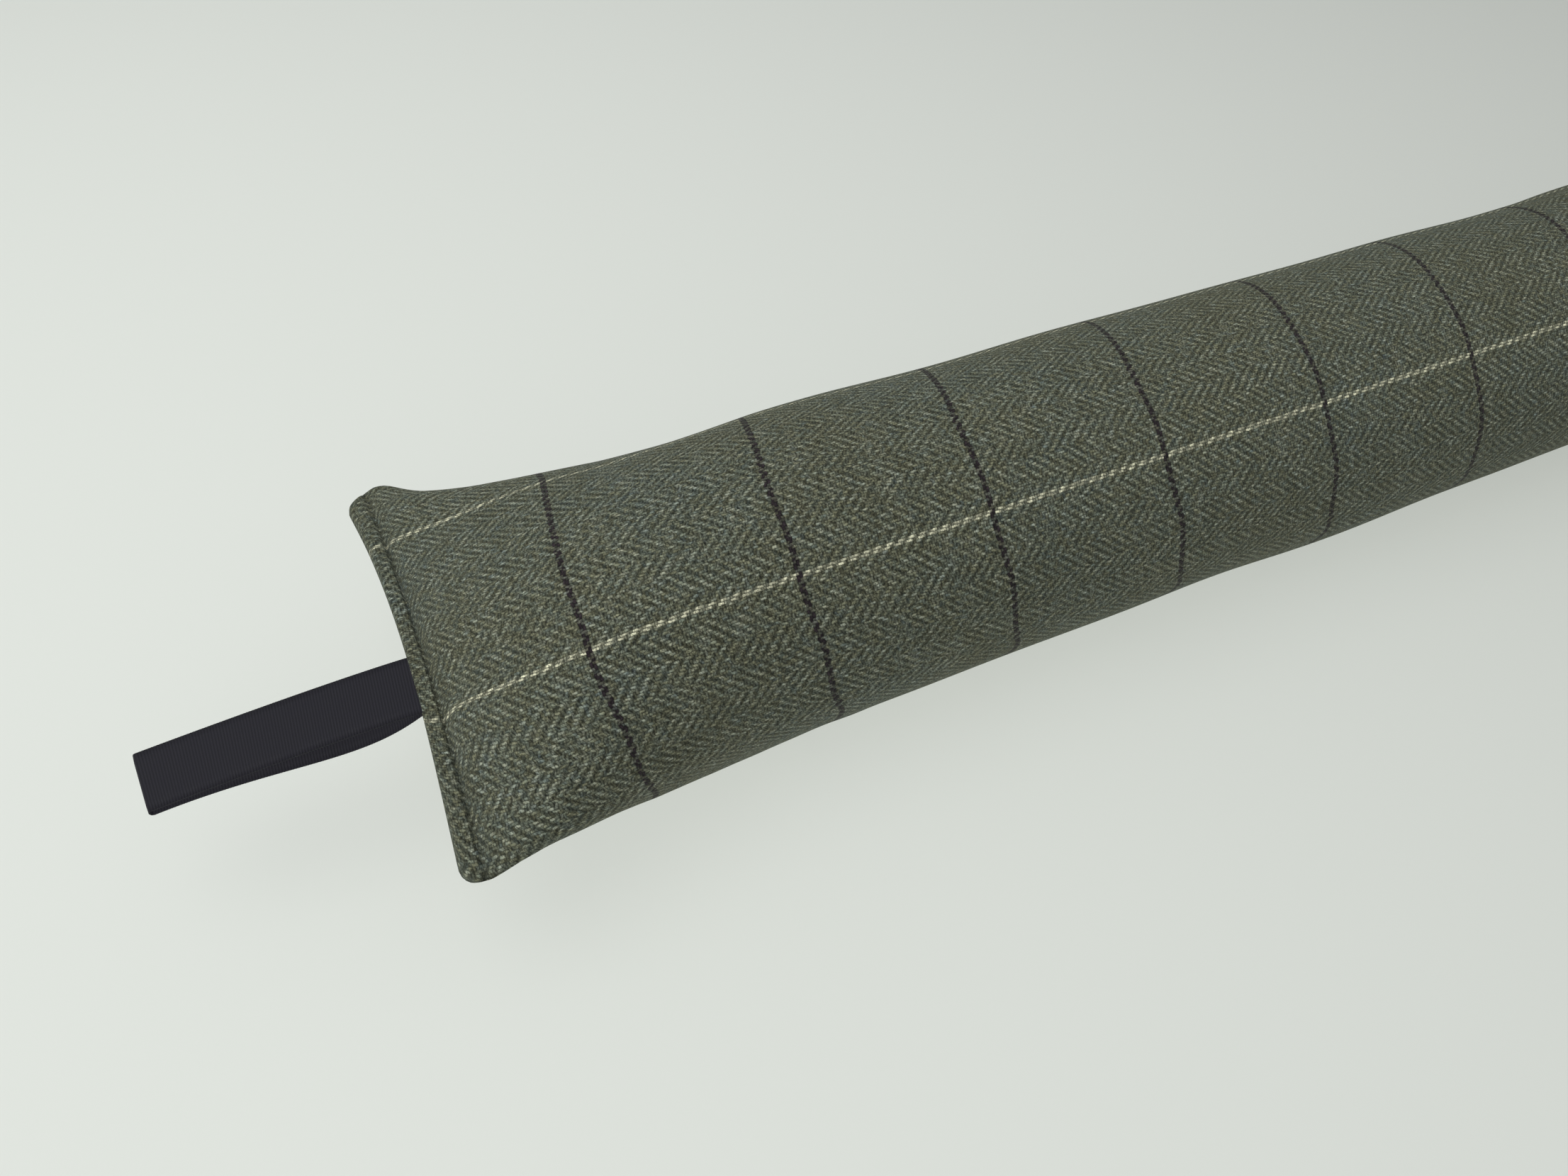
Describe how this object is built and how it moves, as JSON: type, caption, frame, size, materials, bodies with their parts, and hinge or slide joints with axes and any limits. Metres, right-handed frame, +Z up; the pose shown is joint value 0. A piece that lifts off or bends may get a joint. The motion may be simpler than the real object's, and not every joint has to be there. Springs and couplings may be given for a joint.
{
  "type": "draught excluder",
  "caption": "Long filled tweed tube that lies at the foot of a door, sewn flat at both ends, with a grosgrain ribbon hanging loop at one end.",
  "frame": {"origin": "on the flat strip that the tube rests on, under the middle of the casing's length and the tube's axis", "axes": "+X runs along the tube from the ribbon's end to the far end, +Y to the side away from the picture's viewer, +Z up"},
  "size_m": [0.9782, 0.1657, 0.0991],
  "materials": {
    "tweed": "matt grey-green herringbone wool tweed with a cream and dark brown windowpane check",
    "grosgrain": "ribbed near-black ribbon with a faint sheen"
  },
  "bodies": {
    "root": {"casing": "tweed", "ribbon_loop": "grosgrain"}
  },
  "joints": []
}
